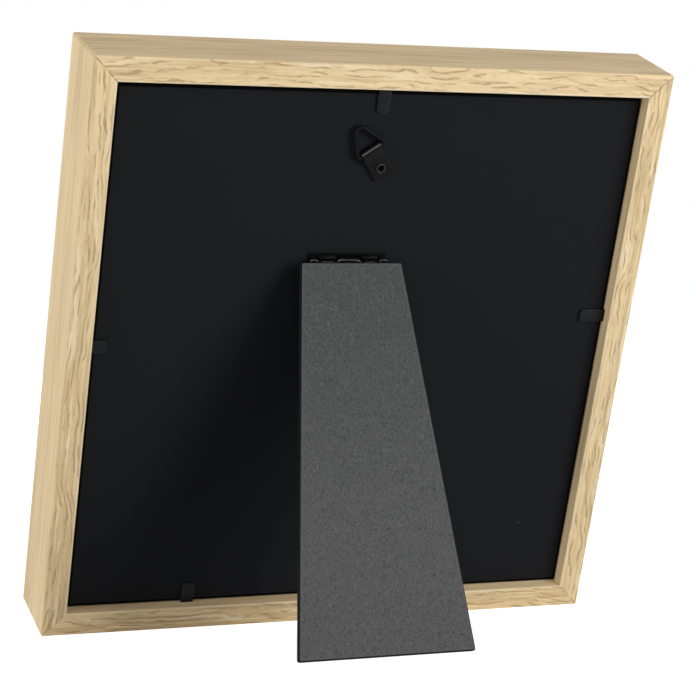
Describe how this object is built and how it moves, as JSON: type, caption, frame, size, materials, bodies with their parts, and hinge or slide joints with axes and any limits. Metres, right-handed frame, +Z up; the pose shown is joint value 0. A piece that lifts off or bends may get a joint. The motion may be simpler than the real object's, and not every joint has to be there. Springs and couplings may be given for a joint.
{
  "type": "easel back photo frame",
  "caption": "Square wooden photo frame leaning on a hinged easel leg, with bending tabs that hold the backing board and a swivelling wire loop for a wall nail.",
  "frame": {"origin": "on the table, under the middle of the frame's width and of its depth with the leg open", "axes": "+X to the frame's right as seen from the picture side, +Y to the back, where the leg is, +Z up; the frame leans back by 20.3 degrees"},
  "size_m": [0.22, 0.1146, 0.2163],
  "materials": {
    "oak": "oak effect with a clear matt lacquer",
    "clear_glass": "clear float glass with ground edges",
    "insert_paper": null,
    "black_board": "smooth black fibreboard",
    "leg_board": "black fibreboard with soft edges",
    "leg_paper": "dark grey paper with short curved fibres",
    "hinge_steel": "black lacquered pressed steel",
    "hanger_steel": "black lacquered steel strap, wire and eyelet",
    "tab_steel": "blackened soft steel strip"
  },
  "bodies": {
    "frame": {"frame_rail_bottom": "oak", "frame_rail_top": "oak", "frame_rail_left": "oak", "frame_rail_right": "oak", "glazing": "clear_glass", "picture_insert": "insert_paper", "backing_board": "black_board", "tab_roots": "tab_steel", "hinge_board_leaf": "hinge_steel", "hinge_pin": "hinge_steel", "board_rivets": "hinge_steel", "hanger_eyelet": "hanger_steel"},
    "leg": {"leg_core": "leg_board", "leg_cover": "leg_paper", "hinge_leg_leaf": "hinge_steel", "leg_rivets": "hinge_steel"},
    "hanger": {"hanger_strap": "hanger_steel"},
    "loop": {"hanger_ring": "hanger_steel"},
    "bottom_tab": {"tab_bottom": "tab_steel"},
    "top_tab": {"tab_top": "tab_steel"},
    "left_tab": {"tab_left": "tab_steel"},
    "right_tab": {"tab_right": "tab_steel"}
  },
  "joints": [
    {"name": "leg_hinge", "type": "hinge", "parent": "frame", "child": "leg", "pos_m": [0.0078, 0.01797, 0.13716], "axis": [1, 0, 0], "range_deg": [-33.8, 0]},
    {"name": "hanger_swivel", "type": "hinge", "parent": "frame", "child": "hanger", "pos_m": [0, 0.02876, 0.17145], "axis": [0, 0.9381, -0.3465], "continuous": true},
    {"name": "loop_tilt", "type": "hinge", "parent": "hanger", "child": "loop", "pos_m": [0.0047, 0.03251, 0.17696], "axis": [-0.809, 0.2037, 0.5514], "range_deg": [-2, 150]},
    {"name": "bottom_tab_bend", "type": "hinge", "parent": "frame", "child": "bottom_tab", "pos_m": [0.0538, -0.03001, 0.01017], "axis": [-1, 0, 0], "range_deg": [0, 85]},
    {"name": "top_tab_bend", "type": "hinge", "parent": "frame", "child": "top_tab", "pos_m": [0.0021, 0.0396, 0.19862], "axis": [1, 0, 0], "range_deg": [0, 85]},
    {"name": "left_tab_bend", "type": "hinge", "parent": "frame", "child": "left_tab", "pos_m": [-0.10045, 0.00951, 0.11715], "axis": [0, 0.3465, 0.9381], "range_deg": [0, 85]},
    {"name": "right_tab_bend", "type": "hinge", "parent": "frame", "child": "right_tab", "pos_m": [0.10045, 0.00594, 0.10749], "axis": [0, -0.3465, -0.9381], "range_deg": [0, 85]}
  ]
}
